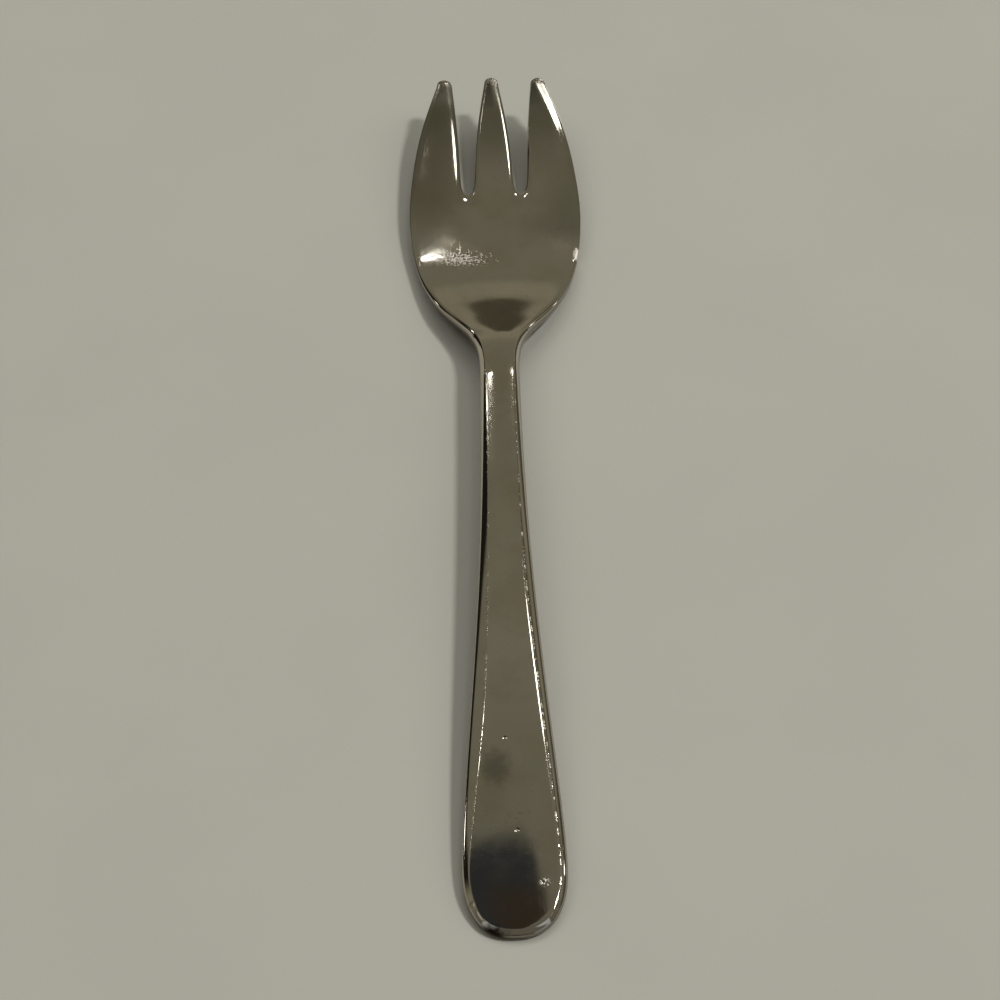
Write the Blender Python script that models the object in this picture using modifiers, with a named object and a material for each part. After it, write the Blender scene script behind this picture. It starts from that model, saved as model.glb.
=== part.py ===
"""A child's three-tined fork, made as the real one is: a single blank of metal with its tines cut free,
graded in thickness, pressed to its curve and bevelled along its edges.

The blank is a quad sheet whose rows run from the handle end (-Y) to the tine tips (+Y) and whose columns
run from the centre line to the edge. The slot's faces are taken out, the sheet is drawn down to its back
to give the wall, and Mirror and Subdivision Surface finish it. The fork lies on its back on z = 0, with
the origin midway along it, and it touches there at the heel of the bowl and under the handle end.
"""
import math

import bmesh
import bpy

MM = 0.001

# Plan
LENGTH = 140.0 * MM              # handle end to the middle tine's tip
HEAD_WIDTH = 24.4 * MM           # across the bowl at its widest
HEAD_AHEAD = 26.0 * MM           # widest place to the middle tine's tip
OUTER_EDGE_REACH = 32.0 * MM     # widest place forward to where the outer edges' ellipse would close
SHOULDER_REACH = 24.4 * MM       # widest place back to where the shoulders' ellipse would close
SHOULDER_FILLET = 3.4 * MM       # how softly the shoulders run into the neck
NECK_WIDTH = 5.4 * MM
HANDLE_WIDTH = 12.5 * MM         # across the handle at its widest
END_REACH = 9.0 * MM             # handle's widest place to its end

# Tines
TINE_LENGTH = 20.6 * MM          # middle tine's tip to the bottom of the slots
SLOT_WIDTH = 1.85 * MM           # at the bottom of the slots
MIDDLE_TINE_WIDTH = 5.7 * MM     # at its root
MIDDLE_TIP_WIDTH = 2.2 * MM
OUTER_TIP_WIDTH = 2.4 * MM
OUTER_TIP_OFFSET = 6.85 * MM     # centre line to an outer tine's tip
OUTER_TIP_SETBACK = 0.5 * MM     # how far the outer tips stand behind the middle one

# Side view: heights of the face above the heel's face, and thickness
TIP_LIFT = 4.9 * MM
NECK_LIFT = 4.2 * MM
HEEL_AHEAD = 33.0 * MM           # heel of the bowl to the middle tine's tip
CREST_BEHIND = 8.5 * MM          # end of the shoulders back to the neck's highest place
TIP_THICKNESS = 1.1 * MM
BOWL_THICKNESS = 1.55 * MM
NECK_THICKNESS = 2.6 * MM
END_THICKNESS = 1.9 * MM
END_REST = 3.5 * MM              # length of the level rest under the handle end
REST_WEAR = 0.13 * MM            # ground off the back where the fork rests

# Section
BOWL_DISH = 1.0 * MM             # rise of the bowl's sides above its middle
HANDLE_CROWN = 0.2 * MM          # fall of the handle's face towards its edges
END_BEVEL = 0.75 * MM            # outline in to the flat of the face, at the handle end
HANDLE_BEVEL = 1.45 * MM         # the same where the handle's bevel is widest
HEAD_BEVEL = 0.75 * MM           # the same round the head and the tines
BEVEL_WIDEST = 30.0 * MM         # handle end to where its bevel is widest
HANDLE_BEVEL_DROP = 0.34 * MM    # fall of the bevel below the face
HEAD_BEVEL_DROP = 0.12 * MM
HANDLE_DRAFT = 0.38 * MM         # the handle's wall leans in this far up to the bevel
HEAD_DRAFT = 0.16 * MM           # the same round the head and the tines
BACK_DRAFT = 0.12 * MM           # wall leans in this far down to the back
BACK_ROUND = 0.22 * MM           # lift of the back's edge

# Shape of the curves, pure numbers
END_FULLNESS = 2.4               # exponent of the handle end's superellipse; 2 is an ellipse
HANDLE_TAPER = 1.7               # exponent of the handle's widening from the neck to the end
HANDLE_EASE = 0.35               # how far that widening is also eased in and out; 1 is wholly
HANDLE_ARCH = 2.4                # exponent of the handle's fall from the neck to the end
TINE_TAPER = 2.2                 # exponent of a tine's narrowing from root to tip
TIP_BLEND = 0.8                  # share of a tine's length where its outer edge starts to turn in to the tip
TIP_FLAT = 0.33                  # least share of a tip's radius that its bevel leaves flat

# Rows and columns of the sheet
HANDLE_ROWS = 7
SHOULDER_ROWS = 7
BOWL_ROWS = 3
TINE_ROWS = 4
(CENTRE, MIDDLE_BEVEL, MIDDLE_EDGE, SLOT, INNER_EDGE, INNER_BEVEL, OUTER_MIDDLE, OUTER_BEVEL,
 OUTER_EDGE) = range(9)
CORNER_ANGLE = math.radians(43)  # turn of the handle end that the first row spans
CORNER_REST = 0.3                # share of the turn left after it that the end's bevel row takes
END_TURNS = (0.45, 1.0)          # where the rows after the bevel row meet the edge, in shares of what is left
END_BOW = 0.15                   # bow of the row at the handle's widest place; 1 is the bevel row's
TIP_ANGLE = math.radians(48)     # turn of a tip that the last row spans, to each side
TIP_BEVEL_TURN = 0.55            # share of that turn where the bevel's columns meet the tip
TIP_START = 0.25                 # how far past a tip's centre its sides run straight, in radii
SMOOTHING = 1                    # subdivision levels
CORNER_GAIN = 1.12               # radius given to a tip's cage so that the smoothed tip keeps its size
WALL_BULGE = 0.72                # share of the wall's height at which the fork is widest
SEAM_MERGE = 0.01 * MM           # the two halves' seam vertices closer than this are one

# Places along the length, measured from the handle end
WIDEST = LENGTH - HEAD_AHEAD
SHOULDER_END = WIDEST - SHOULDER_REACH
SLOT_BOTTOM = LENGTH - TINE_LENGTH
HEEL = LENGTH - HEEL_AHEAD
CREST = SHOULDER_END - CREST_BEHIND
SLOT_MIDDLE = (MIDDLE_TINE_WIDTH + SLOT_WIDTH) / 2
HEEL_FACE = BOWL_THICKNESS - REST_WEAR
END_FACE = END_THICKNESS - REST_WEAR


def mix(a, b, t):
    return a + (b - a) * t


def ease(t):
    """Smooth step from 0 to 1."""
    t = min(max(t, 0.0), 1.0)
    return t * t * (3 - 2 * t)


def span(value, start, end):
    """Share of the way from start to end, kept within 0 and 1."""
    return min(max((value - start) / (end - start), 0.0), 1.0)


def half_ellipse(t):
    return math.sqrt(max(0.0, 1 - t * t))


def soft_max(a, b, softness):
    """The larger of two widths, with a fillet of the given softness where they cross."""
    near = max(softness - abs(a - b), 0.0) / softness
    return max(a, b) + near * near * softness / 4


def end_curve(angle, inset=0.0):
    """Point of the handle end's outline, from its middle (0) round to the widest place (a right angle)."""
    power = 2 / END_FULLNESS
    x = (HANDLE_WIDTH / 2 - inset) * math.sin(angle) ** power
    y = END_REACH - (END_REACH - inset) * max(math.cos(angle), 0.0) ** power
    return x, y


def half_width(y):
    """Half the fork's width in plan, from the handle's widest place to the tips."""
    if y > WIDEST:
        return HEAD_WIDTH / 2 * half_ellipse((y - WIDEST) / OUTER_EDGE_REACH)
    widening = span(y, CREST, END_REACH) ** HANDLE_TAPER
    handle = mix(NECK_WIDTH, HANDLE_WIDTH, mix(widening, ease(widening), HANDLE_EASE)) / 2
    head = HEAD_WIDTH / 2 * half_ellipse((y - WIDEST) / SHOULDER_REACH)
    return soft_max(handle, head, SHOULDER_FILLET)


def face_height(y):
    """Height of the face along the centre line."""
    if y >= HEEL:
        return HEEL_FACE + TIP_LIFT * span(y, HEEL, LENGTH) ** 2
    crest = HEEL_FACE + NECK_LIFT
    if y >= CREST:
        return mix(crest, HEEL_FACE, ease(span(y, CREST, HEEL)))
    return mix(crest, END_FACE, ((CREST - y) / (CREST - END_REST)) ** HANDLE_ARCH)


def thickness(y):
    if y >= HEEL:
        return mix(BOWL_THICKNESS, TIP_THICKNESS, span(y, HEEL, LENGTH))
    if y >= CREST:
        return mix(NECK_THICKNESS, BOWL_THICKNESS, ease(span(y, CREST, HEEL)))
    return mix(NECK_THICKNESS, END_THICKNESS, span(y, CREST, END_REST))


def back_height(y):
    """Height of the back along the centre line; it runs level under the handle end."""
    y = max(y, END_REST)
    return face_height(y) - thickness(y)


def head_share(y):
    """0 on the handle, 1 on the head: blends the sections across the shoulders."""
    return ease(span(y, CREST, WIDEST))


def bevel_width(y):
    """Plan distance from the outline to the flat of the face."""
    if y < BEVEL_WIDEST:
        return mix(END_BEVEL, HANDLE_BEVEL, ease(span(y, 0.0, BEVEL_WIDEST)))
    return mix(HANDLE_BEVEL, HEAD_BEVEL, ease(span(y, BEVEL_WIDEST, SHOULDER_END)))


def bevel_drop(y):
    return mix(HANDLE_BEVEL_DROP, HEAD_BEVEL_DROP, head_share(y))


def face_draft(y):
    return mix(HANDLE_DRAFT, HEAD_DRAFT, head_share(y))


def dish(x, y):
    """Rise of the bowl's face and back at x over the centre line; it deepens from the neck to the slots."""
    return BOWL_DISH * (x / (HEAD_WIDTH / 2)) ** 2 * ease(span(y, CREST, SLOT_BOTTOM))


def crown(x, y):
    """Fall of the handle's face at x below the centre line; its back is flat."""
    return HANDLE_CROWN * (x / half_width(y)) ** 2 * (1 - head_share(y))


def column_shares():
    """Where the columns lie across the head at the slots' bottom, as shares of the face's half width."""
    face = half_width(SLOT_BOTTOM) - HEAD_BEVEL
    middle = MIDDLE_TINE_WIDTH / 2
    inner = middle + SLOT_WIDTH
    places = [0.0, middle - HEAD_BEVEL, middle, SLOT_MIDDLE, inner, inner + HEAD_BEVEL]
    shares = [place / face for place in places]
    return shares + [(shares[-1] + 1) / 2, 1.0]


def body_point(y, column, inset):
    """Plan point of a straight row across the handle, neck, shoulders or bowl."""
    if column == OUTER_EDGE:
        return half_width(y) - inset, y
    even = column / OUTER_BEVEL
    share = mix(even, column_shares()[column], head_share(y))
    return share * (half_width(y) - bevel_width(y)), y


def end_edge_point(column, inset):
    """Plan point of the first row, which is the handle end's own edge."""
    return end_curve(CORNER_ANGLE * column / OUTER_EDGE, inset)


def end_bevel_point(column, inset):
    """Plan point of the second row, the inner line of the bevel round the handle end."""
    if column == OUTER_EDGE:
        return end_curve(mix(CORNER_ANGLE, math.pi / 2, CORNER_REST), inset)
    x, y = end_curve(CORNER_ANGLE * column / OUTER_BEVEL)
    shrink = 1 - END_BEVEL / END_REACH
    return x * shrink, END_REACH - (END_REACH - y) * shrink


def end_row_point(turn, column, inset):
    """Plan point of a bowed row between the end's bevel and the widest place; turn runs from 0 to 1."""
    edge = end_curve(mix(CORNER_ANGLE, math.pi / 2, mix(CORNER_REST, 1.0, turn)), inset)
    if column == OUTER_EDGE:
        return edge
    share = column / OUTER_BEVEL
    bow = mix(1.0, END_BOW, turn) * (end_bevel_point(OUTER_EDGE, 0.0)[1] - END_BEVEL)
    return share * (edge[0] + inset - bevel_width(edge[1])), edge[1] - bow * (1 - share * share)


def root_point(column, inset):
    """Plan point of the row at the bottom of the slots, which dips into a round end between the tines."""
    radius = SLOT_WIDTH / 2
    if column in (MIDDLE_EDGE, INNER_EDGE):
        side = -1 if column == MIDDLE_EDGE else 1
        return SLOT_MIDDLE + side * (radius + inset), SLOT_BOTTOM + radius
    if column == SLOT:
        return SLOT_MIDDLE, SLOT_BOTTOM - radius / 2 - inset
    if column == OUTER_EDGE:
        return half_width(SLOT_BOTTOM) - inset, SLOT_BOTTOM
    return column_shares()[column] * (half_width(SLOT_BOTTOM) - HEAD_BEVEL), SLOT_BOTTOM


def tip_of(column):
    """Centre and radius of the round tip of the tine that a column belongs to."""
    if column <= MIDDLE_EDGE:
        radius = MIDDLE_TIP_WIDTH / 2
        return 0.0, LENGTH - radius, radius
    radius = OUTER_TIP_WIDTH / 2
    return OUTER_TIP_OFFSET, LENGTH - OUTER_TIP_SETBACK - radius, radius


def tine_point(share, column, inset):
    """Plan point of a row across a tine; share runs from 0 at the root to 1 where the tip starts to round."""
    centre, tip_y, radius = tip_of(column)
    y = mix(SLOT_BOTTOM + SLOT_WIDTH / 2, tip_y, share)
    narrowing = share ** TINE_TAPER
    if column <= MIDDLE_EDGE:
        edge = mix(MIDDLE_TINE_WIDTH / 2, radius, narrowing)
        return {CENTRE: 0.0, MIDDLE_BEVEL: edge - HEAD_BEVEL, MIDDLE_EDGE: edge - inset}[column], y
    inner = mix(MIDDLE_TINE_WIDTH / 2 + SLOT_WIDTH, centre - radius, narrowing)
    outer = mix(half_width(y), centre + radius, ease(span(share, TIP_BLEND, 1.0)))
    return {
        INNER_EDGE: inner + inset,
        INNER_BEVEL: inner + HEAD_BEVEL,
        OUTER_MIDDLE: (inner + outer) / 2,
        OUTER_BEVEL: outer - HEAD_BEVEL,
        OUTER_EDGE: outer - inset,
    }[column], y


def tip_point(edge, column, inset):
    """Plan point of the last two rows: the inner line of the tip's bevel, then the tip's own edge."""
    centre, tip_y, radius = tip_of(column)
    turn = {
        CENTRE: 0.0,
        MIDDLE_BEVEL: TIP_BEVEL_TURN,
        MIDDLE_EDGE: 1.0,
        INNER_EDGE: -1.0,
        INNER_BEVEL: -TIP_BEVEL_TURN,
        OUTER_MIDDLE: 0.0,
        OUTER_BEVEL: TIP_BEVEL_TURN,
        OUTER_EDGE: 1.0,
    }[column]
    reach = radius * CORNER_GAIN - inset
    if not edge:
        if abs(turn) == 1.0:
            return centre + turn * (radius - inset), tip_y + radius * TIP_START
        reach = max(radius - HEAD_BEVEL, radius * TIP_FLAT)
    angle = turn * TIP_ANGLE
    return centre + reach * math.sin(angle), tip_y + reach * math.cos(angle)


def sheet_rows():
    """Every row of the sheet, from the handle end to the tips, as a function of column and inset."""
    rows = [end_edge_point, end_bevel_point]
    rows += [lambda c, i, t=t: end_row_point(t, c, i) for t in END_TURNS]
    handle = [mix(END_REACH, CREST, n / HANDLE_ROWS) for n in range(1, HANDLE_ROWS + 1)]
    shoulder = [mix(CREST, WIDEST, n / SHOULDER_ROWS) for n in range(1, SHOULDER_ROWS + 1)]
    bowl_end = SLOT_BOTTOM - SLOT_WIDTH
    bowl = [mix(WIDEST, bowl_end, n / BOWL_ROWS) for n in range(1, BOWL_ROWS + 1)]
    rows += [lambda c, i, y=y: body_point(y, c, i) for y in handle + shoulder + bowl]
    root = len(rows)
    rows.append(root_point)
    tine = [n / TINE_ROWS for n in range(1, TINE_ROWS + 1)]
    rows += [lambda c, i, s=s: tine_point(s, c, i) for s in tine]
    rows += [lambda c, i: tip_point(False, c, i), lambda c, i: tip_point(True, c, i)]
    return rows, root


def on_edge(row, column, root, last):
    """Whether a vertex of the sheet lies on the fork's outline or round a slot."""
    if row in (0, last) or column == OUTER_EDGE:
        return True
    slot_side = column in (MIDDLE_EDGE, INNER_EDGE) and row >= root
    return slot_side or (column == SLOT and row == root)


def fork_sheet(bm, root, last):
    """Half of the fork's face as an open quad sheet, each vertex knowing its row and column."""
    row_of = bm.verts.layers.int.new("row")
    column_of = bm.verts.layers.int.new("column")
    bmesh.ops.create_grid(bm, x_segments=OUTER_EDGE, y_segments=last, size=0.5)
    for vert in bm.verts:
        vert[row_of] = round((vert.co.y + 0.5) * last)
        vert[column_of] = round((vert.co.x + 0.5) * OUTER_EDGE)

    def in_slot(face):
        columns = [v[column_of] for v in face.verts]
        return min(v[row_of] for v in face.verts) >= root and SLOT in columns

    bmesh.ops.delete(bm, geom=[f for f in bm.faces if in_slot(f)], context="FACES")
    return row_of, column_of


def fork_mesh():
    """Half of the fork as a cage, open at the centre plane: face, wall and back."""
    rows, root = sheet_rows()
    last = len(rows) - 1
    bm = bmesh.new()
    row_of, column_of = fork_sheet(bm, root, last)

    def place(vert, level):
        """Puts a vertex at its place on the face (0), round the wall's middle (1) or on the back (2)."""
        row, column = vert[row_of], vert[column_of]
        edge = on_edge(row, column, root, last)
        y = rows[row](column, 0.0)[1]
        inset = (face_draft(y), 0.0, BACK_DRAFT)[level] if edge else 0.0
        x, y = rows[row](column, inset)
        face = face_height(y) + dish(x, y) - crown(x, y)
        back = back_height(y) + dish(x, y)
        if edge:
            face -= bevel_drop(y)
            back += BACK_ROUND
        z = (face, mix(back, face, WALL_BULGE), back)[level]
        vert.co = (x, y - LENGTH / 2, z)

    for vert in bm.verts:
        place(vert, 0)
    faces = list(bm.faces)
    for level in (1, 2):
        made = bmesh.ops.extrude_face_region(bm, geom=faces)["geom"]
        for vert in (g for g in made if isinstance(g, bmesh.types.BMVert)):
            place(vert, level)
        if level == 2:
            bmesh.ops.delete(bm, geom=faces, context="FACES")
        faces = [g for g in made if isinstance(g, bmesh.types.BMFace)]
    seam = [f for f in bm.faces if all(v[column_of] == CENTRE for v in f.verts)]
    bmesh.ops.delete(bm, geom=seam, context="FACES")
    bmesh.ops.recalc_face_normals(bm, faces=bm.faces)
    mesh = bpy.data.meshes.new("fork_body")
    bm.to_mesh(mesh)
    bm.free()
    return mesh


def plated_metal():
    """Polished plating, warm grey and worn dull."""
    material = bpy.data.materials.new("worn_plating")
    material.use_nodes = True
    shader = material.node_tree.nodes["Principled BSDF"]
    shader.inputs["Base Color"].default_value = (0.62, 0.58, 0.50, 1.0)
    shader.inputs["Metallic"].default_value = 1.0
    shader.inputs["Roughness"].default_value = 0.22
    return material


def new_collection(name):
    collection = bpy.data.collections.new(name)
    bpy.context.scene.collection.children.link(collection)
    return collection


def rest_cutter(collection):
    """A slab below the surface that the fork lies on, which grinds its two small rests flat."""
    depth = NECK_THICKNESS
    bpy.ops.mesh.primitive_cube_add(
        size=1.0,
        location=(0.0, 0.0, -depth / 2),
        scale=(2 * HEAD_WIDTH, 2 * LENGTH, depth),
    )
    slab = bpy.context.object
    slab.name = "rest_plane"
    slab.hide_render = True
    slab.display_type = "WIRE"
    for owner in list(slab.users_collection):
        owner.objects.unlink(slab)
    collection.objects.link(slab)
    return slab


def make_fork(collection, cutter):
    fork = bpy.data.objects.new("fork_body", fork_mesh())
    collection.objects.link(fork)
    fork.data.materials.append(plated_metal())
    mirror = fork.modifiers.new("both halves", "MIRROR")
    mirror.use_clip = True
    mirror.merge_threshold = SEAM_MERGE
    smooth = fork.modifiers.new("polished edges", "SUBSURF")
    smooth.levels = SMOOTHING
    smooth.render_levels = SMOOTHING
    grind = fork.modifiers.new("worn rests", "BOOLEAN")
    grind.operation = "DIFFERENCE"
    grind.object = cutter
    fork.data.shade_smooth()
    return fork


def main():
    for item in list(bpy.data.objects):
        bpy.data.objects.remove(item, do_unlink=True)
    cutter = rest_cutter(new_collection("cutters"))
    make_fork(new_collection("child_fork"), cutter)


main()
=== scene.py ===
"""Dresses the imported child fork: models its polished, worn body over the frame and sets a pale table for it.

The file is laid out as an add-on. Sizes, finish and stage are properties, and each operator makes one thing.
"""
import math
from contextlib import contextmanager
from functools import reduce

import bmesh
import bpy
from bpy.props import FloatProperty, FloatVectorProperty, IntProperty, PointerProperty
from mathutils import Matrix, Vector, noise


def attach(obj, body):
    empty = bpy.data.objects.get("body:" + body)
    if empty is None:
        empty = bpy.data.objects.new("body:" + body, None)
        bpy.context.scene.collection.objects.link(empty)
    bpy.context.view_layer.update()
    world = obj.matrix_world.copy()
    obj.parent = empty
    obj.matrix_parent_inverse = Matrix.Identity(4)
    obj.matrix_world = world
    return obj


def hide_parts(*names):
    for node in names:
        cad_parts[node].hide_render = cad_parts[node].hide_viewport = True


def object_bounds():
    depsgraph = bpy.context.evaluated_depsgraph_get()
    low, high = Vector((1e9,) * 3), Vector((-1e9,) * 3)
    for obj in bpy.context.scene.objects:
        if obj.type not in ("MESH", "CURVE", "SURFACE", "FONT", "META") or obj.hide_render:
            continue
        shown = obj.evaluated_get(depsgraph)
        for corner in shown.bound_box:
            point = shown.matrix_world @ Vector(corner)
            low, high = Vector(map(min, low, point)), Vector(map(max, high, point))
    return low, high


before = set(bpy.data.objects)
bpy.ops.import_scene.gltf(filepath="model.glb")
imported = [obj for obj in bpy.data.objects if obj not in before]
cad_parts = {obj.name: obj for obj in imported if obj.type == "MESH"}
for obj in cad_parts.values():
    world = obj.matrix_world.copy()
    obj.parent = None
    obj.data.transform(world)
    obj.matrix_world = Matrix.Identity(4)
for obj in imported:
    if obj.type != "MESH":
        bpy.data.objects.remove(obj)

bl_info = {
    "name": "Child Fork",
    "version": (1, 0, 0),
    "blender": (4, 5, 0),
    "location": "3D View > Sidebar > Child Fork",
    "description": "Models a worn, plated child's fork over its frame and lights it on a pale table",
    "category": "Add Mesh",
}

MM = 0.001
MICRON = 0.000001
CAD_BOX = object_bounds()
CAD_NODE = "fork_body"
CAD_BODY = "root"

# Columns of the half sheet, from the centre line to the outer edge
(CENTRE, MIDDLE_BEVEL, MIDDLE_EDGE, SLOT, INNER_EDGE, INNER_BEVEL, OUTER_MIDDLE, OUTER_BEVEL,
 OUTER_EDGE) = range(9)

# Levels of the cage: face, widest line of the wall, back
FACE, WALL, BACK = range(3)


def mm_prop(millimetres, description):
    """A length that a user can change, given here in millimetres."""
    return FloatProperty(description=description, default=millimetres * MM, precision=5, unit="LENGTH",
                         subtype="DISTANCE")


def degree_prop(degrees, description):
    """An angle, given here in degrees."""
    return FloatProperty(description=description, default=math.radians(degrees), unit="ROTATION",
                         subtype="ANGLE")


def share_prop(value, description):
    """A pure number: a share, an exponent or a strength."""
    return FloatProperty(description=description, default=value, precision=4)


def colour_prop(value, description):
    return FloatVectorProperty(description=description, default=value, size=3, min=0.0, soft_max=1.0,
                               subtype="COLOR")


def labelled(group):
    """Labels every property of a group with its own name in words."""
    for name, prop in group.__annotations__.items():
        prop.keywords["name"] = name.replace("_", " ").capitalize()
    return group


@labelled
class ForkSizes(bpy.types.PropertyGroup):
    """Sizes of the fork's plan, side view and section"""

    length: mm_prop(140.0, "Handle end to the middle tine's tip")
    head_width: mm_prop(24.4, "Across the bowl at its widest")
    head_ahead: mm_prop(26.0, "Widest place of the bowl to the middle tine's tip")
    outer_edge_reach: mm_prop(32.0, "Widest place forward to where the edges would meet")
    shoulder_reach: mm_prop(24.4, "Widest place back to where the shoulders would meet")
    shoulder_fillet: mm_prop(3.4, "How softly the shoulders run into the neck")
    neck_width: mm_prop(5.4, "Across the neck")
    handle_width: mm_prop(12.5, "Across the handle at its widest")
    end_reach: mm_prop(9.0, "Handle's widest place to its end")
    tine_length: mm_prop(20.6, "Middle tine's tip to the bottom of the slots")
    slot_width: mm_prop(1.85, "Between two tines at the bottom of the slot")
    middle_tine_width: mm_prop(5.7, "Across the middle tine at its root")
    middle_tip_width: mm_prop(2.2, "Across the middle tine at its tip")
    outer_tip_width: mm_prop(2.4, "Across an outer tine at its tip")
    outer_tip_offset: mm_prop(6.85, "Centre line to an outer tine's tip")
    outer_tip_setback: mm_prop(0.5, "How far the outer tips stand behind the middle one")
    tip_lift: mm_prop(4.9, "Height of the tips' face over the heel's")
    neck_lift: mm_prop(4.2, "Height of the neck's face over the heel's")
    heel_ahead: mm_prop(33.0, "Heel of the bowl to the middle tine's tip")
    crest_behind: mm_prop(8.5, "End of the shoulders back to the neck's highest place")
    tip_thickness: mm_prop(1.1, "Thickness at the tips")
    bowl_thickness: mm_prop(1.55, "Thickness at the heel of the bowl")
    neck_thickness: mm_prop(2.6, "Thickness of the neck")
    end_thickness: mm_prop(1.9, "Thickness of the handle end")
    end_rest: mm_prop(3.5, "Length of the level rest under the handle end")
    rest_wear: mm_prop(0.13, "Ground off the back where the fork rests")
    bowl_dish: mm_prop(1.0, "Rise of the bowl's sides above its middle")
    handle_crown: mm_prop(0.2, "Fall of the handle's face towards its edges")
    end_bevel: mm_prop(0.75, "Outline in to the face's flat, at the handle end")
    handle_bevel: mm_prop(1.45, "Outline in to the face's flat, where widest")
    head_bevel: mm_prop(0.75, "Outline in to the face's flat, round the head")
    bevel_widest: mm_prop(30.0, "Handle end to where its bevel is widest")
    handle_bevel_drop: mm_prop(0.34, "Fall of the handle's bevel below its face")
    head_bevel_drop: mm_prop(0.12, "Fall of the head's bevel below its face")
    handle_draft: mm_prop(0.38, "How far the handle's wall leans in up to the bevel")
    head_draft: mm_prop(0.16, "How far the head's wall leans in up to the bevel")
    back_draft: mm_prop(0.12, "How far the wall leans in down to the back")
    back_round: mm_prop(0.22, "Lift of the back's edge")
    face_shift: mm_prop(0.4, "How far to the right the handle's face was polished")
    shift_reach: mm_prop(22.0, "Where the bevel is widest to where the face is centred again")
    neck_shift: mm_prop(0.6, "How far to the right the neck's crown lies")
    neck_swell: mm_prop(0.05, "Rise of the face where the neck meets the shoulders")
    swell_place: mm_prop(89.0, "Handle end to the middle of that rise")
    swell_reach: mm_prop(1.8, "Half length of that rise")
    shoulder_sink: mm_prop(0.04, "How far the face is sunk beside the shoulders' middle")
    sink_place: mm_prop(92.5, "Handle end to the middle of that sink")
    sink_reach: mm_prop(2.0, "Half length of that sink")
    sink_side: mm_prop(4.0, "Centre line to where that depth is measured")
    tine_shift: mm_prop(0.3, "How far to the left the middle tine's face was polished")
    tine_wear: mm_prop(0.29, "How far the right tine's outer edge is worn down")
    deeper_wear: mm_prop(0.15, "How much more it is worn down at the deepest place")
    deeper_place: mm_prop(125.5, "From the handle end to that deepest place")
    deeper_reach: mm_prop(5.0, "How far along the tine the deeper wear reaches")
    polish: mm_prop(0.04, "What polishing took off the surface")
    ripple: mm_prop(0.0008, "Depth of the polish's slight ripple")
    ripple_pitch: mm_prop(7.0, "Distance between the polish's ripples")
    end_fullness: share_prop(2.4, "Exponent of the handle end's curve, where 2 is an ellipse")
    handle_taper: share_prop(1.7, "Exponent of the handle's widening towards its end")
    handle_ease: share_prop(0.35, "How far that widening is eased in and out")
    handle_arch: share_prop(2.4, "Exponent of the handle's fall towards its end")
    tine_taper: share_prop(2.2, "Exponent of a tine's narrowing towards its tip")
    tip_blend: share_prop(0.8, "Share of a tine where its outer edge starts to turn in")
    tip_flat: share_prop(0.33, "Least share of a tip's radius that its bevel leaves flat")
    left_crease: share_prop(0.45, "How crisp the face's line is along the bevels that face left")
    tine_crease: share_prop(1.0, "How crisp it is along the tines' bevels that face left")
    right_crease: share_prop(0.1, "How crisp it is along the bevels that face right, which are more worn")
    smoothing: IntProperty(description="Subdivision levels of the finished body", default=3)


@labelled
class PlatingFinish(bpy.types.PropertyGroup):
    """Colours and wear of the plating"""

    plating: colour_prop((0.62, 0.58, 0.50), "Warm grey of the polished plating")
    tarnish: colour_prop((0.44, 0.38, 0.28), "Brownish film in the worn places")
    haze: colour_prop((0.50, 0.53, 0.52), "Cool film of rubbed places")
    film: colour_prop((0.24, 0.225, 0.17), "Dark film on the tines")
    # Painted dark reflection: the film colour darkens the tines and the bowl's sides, standing for the darker
    # room that they mirror.
    pit: colour_prop((0.10, 0.075, 0.05), "Base metal in the pits")
    # Painted shade: the side colour darkens the walls and back, standing for the shaded table that they
    # mirror.
    side: colour_prop((0.20, 0.185, 0.15), "Darker metal of the unpolished sides")
    # Partly painted highlight: this pale colour marks grains where the plating is eaten and stands for glints
    # of lamp light in the heel, on the bowl's edge and along the edges.
    bare: colour_prop((0.86, 0.79, 0.72), "Crystals where the plating is eaten through")
    smudge: colour_prop((0.20, 0.19, 0.15), "Dark smudge on the handle")
    rust: colour_prop((0.022, 0.011, 0.007), "Black-brown rust at the handle end")
    gloss_roughness: share_prop(0.055, "Roughness where the plating is bright")
    dull_roughness: share_prop(0.085, "Roughness where the plating is rubbed dull")


@labelled
class StageSettings(bpy.types.PropertyGroup):
    """Table, lamps, room and camera"""

    table: colour_prop((0.43, 0.42, 0.365), "Pale table top")
    table_size: mm_prop(6000.0, "Across the table top")
    table_gap: mm_prop(0.02, "Table top below the fork's rests")
    lamp_distance: mm_prop(3600.0, "From the fork to every lamp")
    lamp_strength: share_prop(1.0, "Scales the power of every lamp")
    room_strength: share_prop(1.0, "Scales the light of the room")
    view_tilt: degree_prop(40.0, "Camera's tilt from straight down")
    view_roll: degree_prop(-1.66, "Camera's roll")
    view_distance: mm_prop(303.2, "Camera to the point that it looks at")
    view_aim: FloatVectorProperty(description="Point on the table that the camera looks at",
                                  default=(-0.45 * MM, -6.05 * MM, 0.0), size=3, subtype="TRANSLATION")
    view_lens: FloatProperty(description="Focal length on a 36 mm sensor, in millimetres", default=85.0,
                             unit="CAMERA")


def mix(a, b, t):
    return a + (b - a) * t


def ease(t):
    """Smooth step from 0 to 1."""
    t = min(max(t, 0.0), 1.0)
    return t * t * (3 - 2 * t)


def span(value, start, end):
    """Share of the way from start to end, kept within 0 and 1."""
    return min(max((value - start) / (end - start), 0.0), 1.0)


def half_ellipse(t):
    return math.sqrt(max(0.0, 1 - t * t))


def bell(t):
    """1 at zero, falling to nearly nothing at two on either side."""
    return math.exp(-t * t)


def soft_max(a, b, softness):
    """The larger of two widths, with a fillet where they cross."""
    near = max(softness - abs(a - b), 0.0) / softness
    return max(a, b) + near * near * softness / 4


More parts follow.
